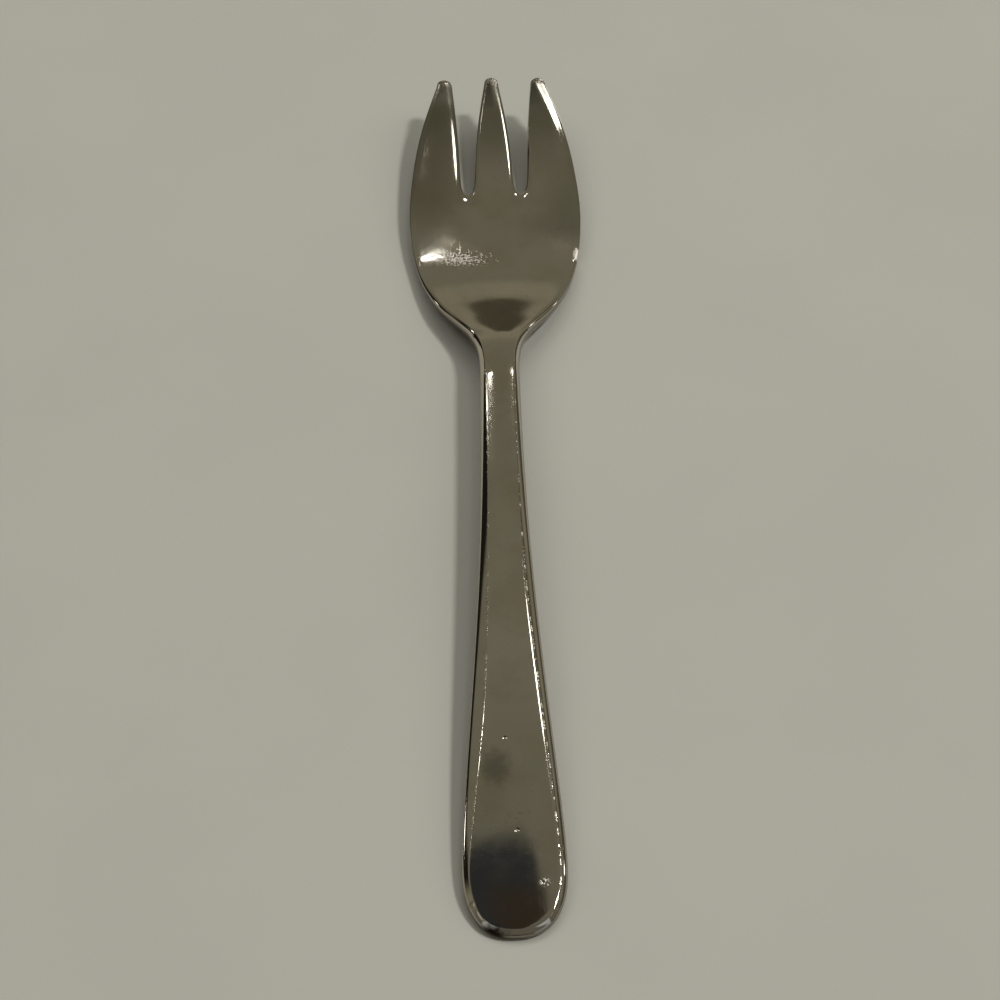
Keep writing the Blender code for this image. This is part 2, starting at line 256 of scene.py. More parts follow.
class ForkShape:
    """Works out every point of the fork's cage from its sizes; y runs from the handle end to the tips."""

    end_rows = 3
    handle_rows = 7
    shoulder_rows = 7
    bowl_rows = 3
    tine_rows = 4
    corner_angle = math.radians(43)
    corner_rest = 0.3
    end_turns = (0.45, 1.0)
    end_bow = 0.15
    tip_angle = math.radians(48)
    tip_bevel_turn = 0.55
    tip_start = 0.25
    corner_gain = 1.12
    wall_bulge = 0.72

    def __init__(self, size):
        self.size = size
        self.widest = size.length - size.head_ahead
        self.shoulder_end = self.widest - size.shoulder_reach
        self.slot_bottom = size.length - size.tine_length
        self.heel = size.length - size.heel_ahead
        self.crest = self.shoulder_end - size.crest_behind
        self.slot_middle = (size.middle_tine_width + size.slot_width) / 2
        self.heel_face = size.bowl_thickness - size.rest_wear
        self.end_face = size.end_thickness - size.rest_wear
        self.rows, self.root = self.sheet_rows()
        self.last = len(self.rows) - 1

    def end_curve(self, angle, inset=0.0):
        """Point of the handle end's outline, from its middle round to the widest place, a right angle on."""
        size = self.size
        power = 2 / size.end_fullness
        x = (size.handle_width / 2 - inset) * math.sin(angle) ** power
        y = size.end_reach - (size.end_reach - inset) * max(math.cos(angle), 0.0) ** power
        return x, y

    def half_width(self, y):
        """Half the fork's width, from the handle's widest place to the tips."""
        size = self.size
        if y > self.widest:
            return size.head_width / 2 * half_ellipse((y - self.widest) / size.outer_edge_reach)
        widening = span(y, self.crest, size.end_reach) ** size.handle_taper
        share = mix(widening, ease(widening), size.handle_ease)
        handle = mix(size.neck_width, size.handle_width, share) / 2
        head = size.head_width / 2 * half_ellipse((y - self.widest) / size.shoulder_reach)
        return soft_max(handle, head, size.shoulder_fillet)

    def face_height(self, y):
        """Height of the face along the centre line."""
        size = self.size
        if y >= self.heel:
            return self.heel_face + size.tip_lift * span(y, self.heel, size.length) ** 2
        crest = self.heel_face + size.neck_lift
        if y >= self.crest:
            return mix(crest, self.heel_face, ease(span(y, self.crest, self.heel)))
        fall = (self.crest - y) / (self.crest - size.end_rest)
        return mix(crest, self.end_face, fall ** size.handle_arch)

    def thickness(self, y):
        size = self.size
        if y >= self.heel:
            return mix(size.bowl_thickness, size.tip_thickness, span(y, self.heel, size.length))
        if y >= self.crest:
            return mix(size.neck_thickness, size.bowl_thickness, ease(span(y, self.crest, self.heel)))
        return mix(size.neck_thickness, size.end_thickness, span(y, self.crest, size.end_rest))

    def back_height(self, y):
        """Height of the back along the centre line; it runs level under the handle end."""
        y = max(y, self.size.end_rest)
        return self.face_height(y) - self.thickness(y)

    def head_share(self, y):
        """0 on the handle, 1 on the head."""
        return ease(span(y, self.crest, self.widest))

    def bevel_width(self, y):
        """Plan distance from the outline to the flat of the face."""
        size = self.size
        if y < size.bevel_widest:
            return mix(size.end_bevel, size.handle_bevel, ease(span(y, 0.0, size.bevel_widest)))
        return mix(size.handle_bevel, size.head_bevel, ease(span(y, size.bevel_widest, self.shoulder_end)))

    def bevel_drop(self, y):
        return mix(self.size.handle_bevel_drop, self.size.head_bevel_drop, self.head_share(y))

    def dish(self, x, y):
        """Rise of the bowl at x over the centre line; it deepens from the neck to the slots."""
        share = ease(span(y, self.crest, self.slot_bottom))
        return self.size.bowl_dish * (x / (self.size.head_width / 2)) ** 2 * share

    def crown(self, x, y):
        """Fall of the handle's face at x below the centre line; its back is flat."""
        return self.size.handle_crown * (x / self.half_width(y)) ** 2 * (1 - self.head_share(y))

    def column_shares(self):
        """Where the columns lie at the bottom of the slots, as shares of the face's half width."""
        size = self.size
        face = self.half_width(self.slot_bottom) - size.head_bevel
        middle = size.middle_tine_width / 2
        inner = middle + size.slot_width
        places = [0.0, middle - size.head_bevel, middle, self.slot_middle, inner, inner + size.head_bevel]
        shares = [place / face for place in places]
        return shares + [(shares[-1] + 1) / 2, 1.0]

    def body_point(self, y, column, inset):
        """Plan point of a straight row across the handle, neck, shoulders or bowl."""
        if column == OUTER_EDGE:
            return self.half_width(y) - inset, y
        share = mix(column / OUTER_BEVEL, self.column_shares()[column], self.head_share(y))
        return share * (self.half_width(y) - self.bevel_width(y)), y

    def end_edge_point(self, column, inset):
        """Plan point of the first row, which is the handle end's own edge."""
        return self.end_curve(self.corner_angle * column / OUTER_EDGE, inset)

    def end_bevel_point(self, column, inset):
        """Plan point of the second row, the inner line of the bevel round the handle end."""
        size = self.size
        if column == OUTER_EDGE:
            return self.end_curve(mix(self.corner_angle, math.pi / 2, self.corner_rest), inset)
        x, y = self.end_curve(self.corner_angle * column / OUTER_BEVEL)
        shrink = 1 - size.end_bevel / size.end_reach
        return x * shrink, size.end_reach - (size.end_reach - y) * shrink

    def end_row_point(self, turn, column, inset):
        """Plan point of a bowed row between the end's bevel, turn 0, and the widest place, turn 1."""
        edge = self.end_curve(mix(self.corner_angle, math.pi / 2, mix(self.corner_rest, 1.0, turn)), inset)
        if column == OUTER_EDGE:
            return edge
        share = column / OUTER_BEVEL
        bow = mix(1.0, self.end_bow, turn) * (self.end_bevel_point(OUTER_EDGE, 0.0)[1] - self.size.end_bevel)
        return share * (edge[0] + inset - self.bevel_width(edge[1])), edge[1] - bow * (1 - share * share)

    def root_point(self, column, inset):
        """Plan point of the row at the bottom of the slots, which dips into a round end between the tines."""
        radius = self.size.slot_width / 2
        bottom = self.slot_bottom
        if column in (MIDDLE_EDGE, INNER_EDGE):
            side = -1 if column == MIDDLE_EDGE else 1
            return self.slot_middle + side * (radius + inset), bottom + radius
        if column == SLOT:
            return self.slot_middle, bottom - radius / 2 - inset
        if column == OUTER_EDGE:
            return self.half_width(bottom) - inset, bottom
        return self.column_shares()[column] * (self.half_width(bottom) - self.size.head_bevel), bottom

    def tip_of(self, column):
        """Centre and radius of the round tip of the tine that a column belongs to."""
        size = self.size
        if column <= MIDDLE_EDGE:
            radius = size.middle_tip_width / 2
            return 0.0, size.length - radius, radius
        radius = size.outer_tip_width / 2
        return size.outer_tip_offset, size.length - size.outer_tip_setback - radius, radius

    def tine_point(self, share, column, inset):
        """Plan point of a row across a tine; share runs from 0 at the root to 1 where the tip rounds."""
        size = self.size
        centre, tip_y, radius = self.tip_of(column)
        y = mix(self.slot_bottom + size.slot_width / 2, tip_y, share)
        narrowing = share ** size.tine_taper
        if column <= MIDDLE_EDGE:
            edge = mix(size.middle_tine_width / 2, radius, narrowing)
            return {CENTRE: 0.0, MIDDLE_BEVEL: edge - size.head_bevel, MIDDLE_EDGE: edge - inset}[column], y
        inner = mix(size.middle_tine_width / 2 + size.slot_width, centre - radius, narrowing)
        outer = mix(self.half_width(y), centre + radius, ease(span(share, size.tip_blend, 1.0)))
        return {
            INNER_EDGE: inner + inset,
            INNER_BEVEL: inner + size.head_bevel,
            OUTER_MIDDLE: (inner + outer) / 2,
            OUTER_BEVEL: outer - size.head_bevel,
            OUTER_EDGE: outer - inset,
        }[column], y

    def tip_point(self, edge, column, inset):
        """Plan point of the last two rows: the inner line of the tip's bevel, then the tip's own edge."""
        centre, tip_y, radius = self.tip_of(column)
        turn = {
            CENTRE: 0.0,
            MIDDLE_BEVEL: self.tip_bevel_turn,
            MIDDLE_EDGE: 1.0,
            INNER_EDGE: -1.0,
            INNER_BEVEL: -self.tip_bevel_turn,
            OUTER_MIDDLE: 0.0,
            OUTER_BEVEL: self.tip_bevel_turn,
            OUTER_EDGE: 1.0,
        }[column]
        reach = radius * self.corner_gain - inset
        if not edge:
            if abs(turn) == 1.0:
                return centre + turn * (radius - inset), tip_y + radius * self.tip_start
            reach = max(radius - self.size.head_bevel, radius * self.size.tip_flat)
        angle = turn * self.tip_angle
        return centre + reach * math.sin(angle), tip_y + reach * math.cos(angle)

    def sheet_rows(self):
        """Every row of the sheet, from the handle end to the tips, as a function of column and inset."""
        def steps(start, end, count):
            return [mix(start, end, n / count) for n in range(1, count + 1)]

        rows = [self.end_edge_point, self.end_bevel_point]
        rows += [lambda c, i, t=t: self.end_row_point(t, c, i) for t in self.end_turns]
        straight = steps(self.size.end_reach, self.crest, self.handle_rows)
        straight += steps(self.crest, self.widest, self.shoulder_rows)
        straight += steps(self.widest, self.slot_bottom - self.size.slot_width, self.bowl_rows)
        rows += [lambda c, i, y=y: self.body_point(y, c, i) for y in straight]
        root = len(rows)
        rows.append(self.root_point)
        rows += [lambda c, i, s=s: self.tine_point(s, c, i) for s in steps(0.0, 1.0, self.tine_rows)]
        rows += [lambda c, i, e=e: self.tip_point(e, c, i) for e in (False, True)]
        return rows, root

    def in_slot(self, row, column):
        """Whether the face that starts at this row and column lies between two tines."""
        return row >= self.root and column in (MIDDLE_EDGE, SLOT)

    def on_edge(self, row, column):
        """Whether a vertex lies on the fork's outline or round a slot."""
        if row in (0, self.last) or column == OUTER_EDGE:
            return True
        slot_side = column in (MIDDLE_EDGE, INNER_EDGE) and row >= self.root
        return slot_side or (column == SLOT and row == self.root)

    def on_bevel_line(self, row, column):
        """Whether a vertex lies on the inner line of the bevel."""
        if self.on_edge(row, column):
            return False
        if row in (1, self.last - 1) or column == OUTER_BEVEL:
            return True
        if row >= self.root:
            return column in (MIDDLE_BEVEL, INNER_BEVEL)
        return row == self.root - 1 and column in (MIDDLE_EDGE, SLOT, INNER_EDGE)

    def blank_point(self, row, column, level):
        """Place of a vertex of the unpressed blank, whose face lies level at zero."""
        size = self.size
        edge = self.on_edge(row, column)
        y = self.rows[row](column, 0.0)[1]
        face_draft = mix(size.handle_draft, size.head_draft, self.head_share(y))
        inset = (face_draft, 0.0, size.back_draft)[level] if edge else 0.0
        x, y = self.rows[row](column, inset)
        face = -self.bevel_drop(y) if edge else 0.0
        back = self.back_height(y) - self.face_height(y) + self.crown(x, y)
        if edge:
            back += size.back_round
        z = (face, mix(back, face, self.wall_bulge), back)[level]
        return Vector((x, y - size.length / 2, z))

    def press_height(self, x, y):
        """How far pressing lifts the blank at a point of its plan."""
        size = self.size
        shift = size.neck_shift * ease(span(y, size.bevel_widest, self.crest))
        swell = size.neck_swell * bell((y - size.swell_place) / size.swell_reach)
        sink = size.shoulder_sink * (x / size.sink_side) ** 2 * bell((y - size.sink_place) / size.sink_reach)
        return self.face_height(y) + self.dish(x, y) - self.crown(x - shift, y) + swell - sink


@contextmanager
def editing(piece):
    """Edit mode on one piece, with nothing of it selected."""
    bpy.context.view_layer.objects.active = piece
    bpy.ops.object.mode_set(mode="EDIT")
    bpy.ops.mesh.select_all(action="DESELECT")
    yield piece.data
    bpy.ops.object.mode_set(mode="OBJECT")


def pick(mesh, kind, wanted):
    """Selects the faces, edges or vertices of the mesh in edit mode that a test wants, and only those."""
    bpy.ops.mesh.select_mode(type={"faces": "FACE", "edges": "EDGE", "verts": "VERT"}[kind])
    bpy.ops.mesh.select_all(action="DESELECT")
    cage = bmesh.from_edit_mesh(mesh)
    for item in getattr(cage, kind):
        if wanted(item, cage):
            item.select_set(True)
    cage.select_flush_mode()
    bmesh.update_edit_mesh(mesh)


def row_column(cage, vert):
    layers = cage.verts.layers.int
    return vert[layers["row"]], vert[layers["column"]]


def level_of(cage, vert):
    return vert[cage.verts.layers.int["level"]]


def add_sheet(shape):
    """Half of the fork's face as a flat grid, whose vertices know their row and column."""
    bpy.ops.object.select_all(action="DESELECT")
    bpy.ops.mesh.primitive_grid_add(x_subdivisions=OUTER_EDGE, y_subdivisions=shape.last, size=1.0)
    piece = bpy.context.object
    piece.name = "polished_fork"
    piece.data.name = "polished_fork"
    row_of = piece.data.attributes.new("row", "INT", "POINT")
    column_of = piece.data.attributes.new("column", "INT", "POINT")
    piece.data.attributes.new("level", "INT", "POINT")
    for vert in piece.data.vertices:
        row_of.data[vert.index].value = round((vert.co.y + 0.5) * shape.last)
        column_of.data[vert.index].value = round((vert.co.x + 0.5) * OUTER_EDGE)
    return piece


def cut_slots(piece, shape):
    """Takes the faces between the tines out of the sheet."""
    def between_tines(face, cage):
        corners = [row_column(cage, vert) for vert in face.verts]
        return shape.in_slot(min(row for row, _ in corners), min(column for _, column in corners))

    with editing(piece) as mesh:
        pick(mesh, "faces", between_tines)
        bpy.ops.mesh.delete(type="FACE")


def place_level(mesh, shape, level):
    """Puts the selected vertices where they belong on one level of the cage."""
    cage = bmesh.from_edit_mesh(mesh)
    level_layer = cage.verts.layers.int["level"]
    for vert in cage.verts:
        if vert.select:
            vert[level_layer] = level
            vert.co = shape.blank_point(*row_column(cage, vert), level)
    bmesh.update_edit_mesh(mesh)


def draw_down(piece, shape):
    """Makes the sheet the blank's face, draws it down to the wall and back, and opens the centre seam."""
    def on_seam(face, cage):
        return all(row_column(cage, vert)[1] == CENTRE for vert in face.verts)

    drop = {"value": (0.0, 0.0, -shape.size.neck_thickness)}
    with editing(piece) as mesh:
        bpy.ops.mesh.select_mode(type="FACE")
        bpy.ops.mesh.select_all(action="SELECT")
        place_level(mesh, shape, FACE)
        for level in (WALL, BACK):
            bpy.ops.mesh.extrude_region_move(TRANSFORM_OT_translate=drop)
            place_level(mesh, shape, level)
        pick(mesh, "faces", on_seam)
        bpy.ops.mesh.delete(type="FACE")


def crease_bevel(piece, shape):
    """Makes the line between the face and its bevel crisp, less so where the bevel faces right."""
    def along_line(edge, cage):
        return all(level_of(cage, vert) == FACE and shape.on_bevel_line(*row_column(cage, vert))
                   for vert in edge.verts)

    def faces_right(edge, cage):
        places = [row_column(cage, vert) for vert in edge.verts]
        at_end = all(row < shape.end_rows for row, _ in places)
        inner = all(column == INNER_BEVEL and row >= shape.root for row, column in places)
        right_half = sum(vert.co.x for vert in edge.verts) > 0
        return right_half != inner and not at_end

    def on_tine(edge, cage):
        return all(row_column(cage, vert)[0] >= shape.root for vert in edge.verts)

    def crease_kind(edge, cage):
        if not along_line(edge, cage):
            return None
        if faces_right(edge, cage):
            return "right_crease"
        return "tine_crease" if on_tine(edge, cage) else "left_crease"

    with editing(piece) as mesh:
        for kind in ("left_crease", "tine_crease", "right_crease"):
            pick(mesh, "edges", lambda edge, cage: crease_kind(edge, cage) == kind)
            bpy.ops.transform.edge_crease(value=getattr(shape.size, kind))


def mark_wear(piece, shape):
    """Marks where polish wears first, on the bevel's inner line, and the walls and back, which get painted
    shade.
    """
    data = piece.data.attributes
    for name in ("edge_wear", "side"):
        data.new(name, "FLOAT", "POINT")
    for index in range(len(piece.data.vertices)):
        row, column, level = (data[name].data[index].value for name in ("row", "column", "level"))
        worn = level == FACE and shape.on_bevel_line(row, column)
        data["edge_wear"].data[index].value = 1.0 if worn else 0.0
        data["side"].data[index].value = 0.0 if level == FACE else 1.0


def apply_modifier(piece, kind, **settings):
    """Adds a modifier, sets it and applies it."""
    bpy.ops.object.select_all(action="DESELECT")
    piece.select_set(True)
    bpy.context.view_layer.objects.active = piece
    bpy.ops.object.modifier_add(type=kind)
    modifier = piece.modifiers[-1]
    for name, value in settings.items():
        setattr(modifier, name, value)
    bpy.ops.object.modifier_apply(modifier=modifier.name)


def wear_face(piece, shape):
    """Moves the face off centre, as uneven polishing does, and wears down the right tine's outer edge."""
    size = shape.size
    with editing(piece) as mesh:
        cage = bmesh.from_edit_mesh(mesh)
        for vert in cage.verts:
            if level_of(cage, vert) != FACE:
                continue
            row, column = row_column(cage, vert)
            y = vert.co.y + size.length / 2
            on_handle = ease(span(y, 0.0, size.bevel_widest))
            on_handle -= ease(span(y, size.bevel_widest, size.bevel_widest + size.shift_reach))
            on_tines = ease(span(y, shape.slot_bottom, size.length - size.tine_length / 2))
            if not shape.on_edge(row, column):
                vert.co.x += size.face_shift * on_handle
                vert.co.x -= size.tine_shift * on_tines * (1 + vert.co.x / size.outer_tip_offset)
            elif column == OUTER_EDGE and vert.co.x > 0:
                deeper = size.deeper_wear * bell((y - size.deeper_place) / size.deeper_reach)
                vert.co.z -= (size.tine_wear + deeper) * on_tines
        bmesh.update_edit_mesh(mesh)


def press_blank(piece, shape):
    """Presses the smooth blank into the curves of the handle, the neck and the bowl."""
    for vert in piece.data.vertices:
        vert.co.z += shape.press_height(vert.co.x, vert.co.y + shape.size.length / 2)
    piece.data.update()


def grind_rests(piece):
    """Cuts the back flat where the fork rests and closes the cuts."""
    with editing(piece):
        bpy.ops.mesh.select_all(action="SELECT")
        bpy.ops.mesh.bisect(plane_co=(0.0, 0.0, 0.0), plane_no=(0.0, 0.0, 1.0), use_fill=True,
                            clear_inner=True, threshold=MICRON)
        bpy.ops.mesh.select_all(action="SELECT")
        bpy.ops.mesh.normals_make_consistent(inside=False)


def polish_surface(piece, size):
    """Takes a thin, slightly rippled layer off the surface and leaves the ground rests as they are."""
    mesh = piece.data
    normals = [vert.normal.copy() for vert in mesh.vertices]
    for vert, normal in zip(mesh.vertices, normals):
        depth = size.polish + size.ripple * noise.noise(vert.co / size.ripple_pitch)
        vert.co -= normal * depth * ease(span(vert.co.z, 0.0, size.head_bevel))
        vert.co.z = max(vert.co.z, 0.0)
    mesh.update()


def stays_in_box(piece, box):
    """Whether every vertex of the piece lies within a box, to a micron."""
    low, high = box
    return all(low[axis] - MICRON <= vert.co[axis] <= high[axis] + MICRON
               for vert in piece.data.vertices for axis in range(3))


class NodeTree:
    """Adds and links the nodes of one material or world in few words."""

    def __init__(self, owner):
        owner.use_nodes = True
        self.tree = owner.node_tree
        self.tree.nodes.clear()

    def add(self, kind, sockets=None, **settings):
        """A node with its settings, whose sockets, by name or number, hold values or other nodes' outputs."""
        made = self.tree.nodes.new(kind)
        for name, value in settings.items():
            setattr(made, name, value)
        for name, value in (sockets or {}).items():
            if isinstance(value, bpy.types.NodeSocket):
                self.tree.links.new(value, made.inputs[name])
            else:
                made.inputs[name].default_value = value
        return made

    def math(self, operation, *values):
        """A Math node on one, two or three numbers."""
        return self.add("ShaderNodeMath", dict(enumerate(values)), operation=operation).outputs[0]

    def times(self, *values):
        """The product of all the numbers."""
        return reduce(lambda first, second: self.math("MULTIPLY", first, second), values)

    def largest(self, *values):
        """The largest of the numbers."""
        return reduce(lambda first, second: self.math("MAXIMUM", first, second), values)

    def raised(self, base, mask, amount):
        """A number, raised by an amount where a mask is 1."""
        return self.math("MULTIPLY_ADD", mask, amount, base)

    def between(self, value, low, high, start=0.0, end=1.0):
        """Maps a value from low..high to start..end, smoothly and clamped."""
        sockets = {"Value": value, "From Min": low, "From Max": high, "To Min": start, "To Max": end}
        return self.add("ShaderNodeMapRange", sockets, interpolation_type="SMOOTHSTEP").outputs["Result"]

    def band(self, value, low, high, blur):
        """1 where a value lies between low and high, blurred inside both ends."""
        return self.times(self.between(value, low, low + blur), self.between(value, high, high - blur))

    def clouds(self, place, scale, detail=2.0, roughness=0.5, distortion=0.0):
        """A cloudy noise."""
        sockets = {"Vector": place, "Scale": scale, "Detail": detail, "Roughness": roughness,
                   "Distortion": distortion}
        return self.add("ShaderNodeTexNoise", sockets).outputs["Fac"]

    def moved(self, place, move=(0, 0, 0), turn=(0, 0, 0), scale=(1, 1, 1)):
        """A place scaled, turned and then moved."""
        sockets = {"Vector": place, "Location": move, "Rotation": turn, "Scale": scale}
        return self.add("ShaderNodeMapping", sockets).outputs["Vector"]

    def spot(self, place, centre, reach, soft=0.6):
        """1 inside an ellipsoid with the given half sizes, falling to 0 at its border."""
        move = [-c / r for c, r in zip(centre, reach)]
        scaled = self.moved(place, move=move, scale=[1 / r for r in reach])
        distance = self.add("ShaderNodeVectorMath", {0: scaled}, operation="LENGTH").outputs["Value"]
        return self.between(distance, 1.0, 1.0 - soft)

    def blend(self, share, first, second):
        """Mixes two colours."""
        sockets = {0: share, 6: first, 7: second}
        return self.add("ShaderNodeMix", sockets, data_type="RGBA", clamp_factor=True).outputs[2]

    def coated(self, colour, coats):
        """Lays coats, each a mask and a colour, over a colour in turn."""
        for mask, coat in coats:
            colour = self.blend(mask, colour, rgba(coat))
        return colour


def rgba(colour):
    return (*colour, 1.0)


# Centres and half sizes, in millimetres, of the marks on the plating
# The heel band holds pits and grain, and pale grains that are painted glints of lamp light.
HEEL_WEAR_AND_GLINTS = ((-5.4, 36.7, 1.5), (7.6, 2.3, 6.0))
# A painted highlight: a pale, rough spot on the bowl's right edge.
BOWL_EDGE_HIGHLIGHT = ((11.3, 36.6, 2.0), (0.8, 1.6, 4.0))
# A pale speckled spot near the handle end: worn plating painted pale as a glint.
WORN_GLINT_SPOT = ((3.35, -63.8, 2.0), (1.0, 0.8, 4.0))
SMUDGE = ((-1.9, -49.2, 4.0), (3.0, 4.2, 6.0))
RUST = ((-3.2, -69.6, 0.8), (3.8, 2.0, 1.8))

# Centres and radii, in millimetres, of the small dents in the handle's face
DENTS = (
    ((0.4, -57.3, 3.0), 0.35),
    ((5.3, -59.5, 2.4), 0.45),
    ((-4.9, -66.1, 1.6), 0.5),
    ((-0.7, -45.4, 4.2), 0.35),
)

# Turns, in radians, and depths, in microns, of the two sets of scratches
SCRATCHES = ((0.12, 0.25), (0.9, 0.3))

# Depths in microns
DENT_DEPTH = 60.0
PIT_DEPTH = 6.0
PEEL_DEPTH = 0.12
GRAIN_DEPTH = 0.08
EDGE_GRAIN_DEPTH = 6.0
CRYSTAL_DEPTH = 20.0
TIP_GRAIN_DEPTH = 8.0


class PlatingWear:
    """Masks of what has worn the plating and of painted glints, from 0 to 1; along is measured in millimetres
    from the origin.
    """

    def __init__(self, t, place, along):
        edge = t.add("ShaderNodeAttribute", attribute_name="edge_wear").outputs["Fac"]
        heel_wear_and_glints = t.spot(place, *HEEL_WEAR_AND_GLINTS, 1.0)
        self.tips = t.between(along, 67.8, 69.4)
        self.speckle = t.between(t.clouds(place, 3.0, 2.0, 0.65), 0.47, 0.58)

        # Grain along the edges of the handle, in patches
        patchy = t.between(t.clouds(place, 0.9, 2.0), 0.42, 0.58)
        on_handle = (t.between(along, 18.0, 12.0), t.between(along, -66.0, -62.0))
        self.edge_grain = t.times(t.math("POWER", edge, 6.0), patchy, *on_handle)

        # Pits, nearly all where the plating is eaten
        eaten = t.largest(heel_wear_and_glints, self.tips, self.edge_grain)
        self.pits = t.times(t.between(t.clouds(place, 2.6, 1.0), 0.66, 0.74), t.raised(0.1, eaten, 0.9))

        # Pale grains of eaten plating with painted glints in the heel and along the edges, a painted highlight
        # on the bowl's right edge and a painted glint near the handle end
        clusters = t.raised(t.clouds(place, 3.2, 2.0, 0.65), heel_wear_and_glints, 0.22)
        self.crystals = t.largest(
            t.times(t.between(clusters, 0.66, 0.74), t.between(heel_wear_and_glints, 0.0, 0.15)),
            t.spot(place, *BOWL_EDGE_HIGHLIGHT, 0.6),
            t.times(t.spot(place, *WORN_GLINT_SPOT, 0.8), self.speckle),
            t.times(self.edge_grain, self.speckle, 0.6),
        )

        # Ragged smudge on the handle and rust at its end
        ragged = t.raised(-0.4, t.clouds(place, 1.1, 3.0, 0.6), 0.8)
        smudge = t.math("ADD", t.spot(place, *SMUDGE, 1.0), ragged)
        self.smudge = t.between(smudge, 0.0, 1.0, 0.0, 0.6)
        self.rust = t.between(t.math("ADD", t.spot(place, *RUST, 0.9), ragged), 0.2, 0.9)


def plating_films(t, finish, place, across, along):
    """Colour of the plating under tarnish and haze, with painted dark reflection on the tines and beside the
    bowl and painted shade on the sides.
    """
    side = t.add("ShaderNodeAttribute", attribute_name="side").outputs["Fac"]
    tarnish = t.between(t.clouds(place, 0.13, 3.0, 0.55), 0.42, 0.70)
    haze = t.between(t.clouds(t.moved(place, move=(31.0, 7.0, 3.0)), 0.2, 2.0), 0.50, 0.72)
    left_dark_reflection = t.times(t.between(along, 38.0, 50.0), t.between(across, -2.0, -9.0, 0.0, 0.6))
    right_dark_reflection = t.times(t.between(along, 58.0, 46.0), t.between(across, 4.0, 10.0, 0.0, 0.4),
                         t.between(along, 38.0, 42.0))
    return t.coated(rgba(finish.plating), (
        (t.times(tarnish, 0.35), finish.tarnish),
        (t.times(haze, 0.15), finish.haze),
        # Painted dark reflection, growing towards the tines and on the bowl's left and right sides
        (t.between(along, 44.0, 64.0, 0.0, 0.6), finish.film),
        (left_dark_reflection, finish.film),
        (right_dark_reflection, finish.film),
        # Painted shade on the walls and back
        (t.between(side, 0.0, 1.0, 0.0, 0.8), finish.side),
    ))


def plating_roughness(t, finish, place, along, wear):
    """Roughness of the plating: bright or rubbed dull, and rougher towards the tips and where it is worn."""
    rub = t.between(t.clouds(place, 0.35, 4.0, 0.6, 0.4), 0.35, 0.75)
    rough = t.between(rub, 0.0, 1.0, finish.gloss_roughness, finish.dull_roughness)
    for mask, amount in (
        (t.between(along, 63.5, 66.5), 0.1),
        (wear.crystals, 0.42),
        (t.times(wear.edge_grain, wear.speckle), 0.28),
        (t.times(wear.tips, wear.speckle), 0.25),
        (wear.pits, 0.25),
        (wear.rust, 0.2),
    ):
        rough = t.raised(rough, mask, amount)
    return rough


def plating_relief(t, place, wear):
    """Height of the surface in microns: orange peel, grain, pits, scratches and dents."""
    peel = t.times(t.clouds(place, 1.3, 1.0), PEEL_DEPTH)
    depth = GRAIN_DEPTH
    for mask, more in ((wear.edge_grain, EDGE_GRAIN_DEPTH), (wear.crystals, CRYSTAL_DEPTH),
                       (wear.tips, TIP_GRAIN_DEPTH)):
        depth = t.raised(depth, mask, more)
    relief = t.raised(peel, t.clouds(place, 3.0, 2.0, 0.6), depth)
    relief = t.raised(relief, wear.pits, -PIT_DEPTH)
    for turn, scratch_depth in SCRATCHES:
        lines = t.clouds(t.moved(place, turn=(0.0, 0.0, turn), scale=(7.0, 0.22, 1.0)), 1.0, 2.0)
        relief = t.raised(relief, t.between(lines, 0.66, 0.72), -scratch_depth)
    for centre, radius in DENTS:
        dent = t.spot(place, centre, (radius, radius, 1.0), 1.0)
        relief = t.raised(relief, dent, -DENT_DEPTH)
    return relief


def worn_plating(finish):
    """Polished plating with tarnish clouds, rubbed haze, scratches, pitted edges and a rusty end, with painted
    glints, painted shade on the sides and painted dark reflection on the tines.
    """
    material = bpy.data.materials.new("worn_plating")
    t = NodeTree(material)
    coordinates = t.add("ShaderNodeTexCoord").outputs["Object"]
    place = t.moved(coordinates, scale=(1 / MM, 1 / MM, 1 / MM))
    axes = t.add("ShaderNodeSeparateXYZ", {"Vector": place})
    across, along = axes.outputs["X"], axes.outputs["Y"]
    wear = PlatingWear(t, place, along)
    colour = t.coated(plating_films(t, finish, place, across, along), (
        (wear.pits, finish.pit),
        (wear.crystals, finish.bare),
        (wear.smudge, finish.smudge),
        (wear.rust, finish.rust),
    ))
    relief = plating_relief(t, place, wear)
    bump = t.add("ShaderNodeBump", {"Strength": 1.0, "Distance": MICRON, "Height": relief})
    shader = t.add("ShaderNodeBsdfPrincipled", {
        "Base Color": colour,
        "Metallic": 1.0,
        "Roughness": plating_roughness(t, finish, place, along, wear),
        "Normal": bump.outputs["Normal"],
    })
    t.add("ShaderNodeOutputMaterial", {"Surface": shader.outputs["BSDF"]})
    return material


def table_top(stage):
    """Plain pale table, faintly mottled and dull."""
    material = bpy.data.materials.new("table_top")
    t = NodeTree(material)
    place = t.add("ShaderNodeTexCoord").outputs["Object"]
    mottle = t.between(t.clouds(place, 30.0, 3.0), 0.3, 0.7)
    darker = [channel * 0.97 for channel in stage.table]
    shader = t.add("ShaderNodeBsdfPrincipled", {
        "Base Color": t.blend(mottle, rgba(stage.table), rgba(darker)),
        "Roughness": 0.6,
        "Specular IOR Level": 0.2,
    })
    t.add("ShaderNodeOutputMaterial", {"Surface": shader.outputs["BSDF"]})
    return material


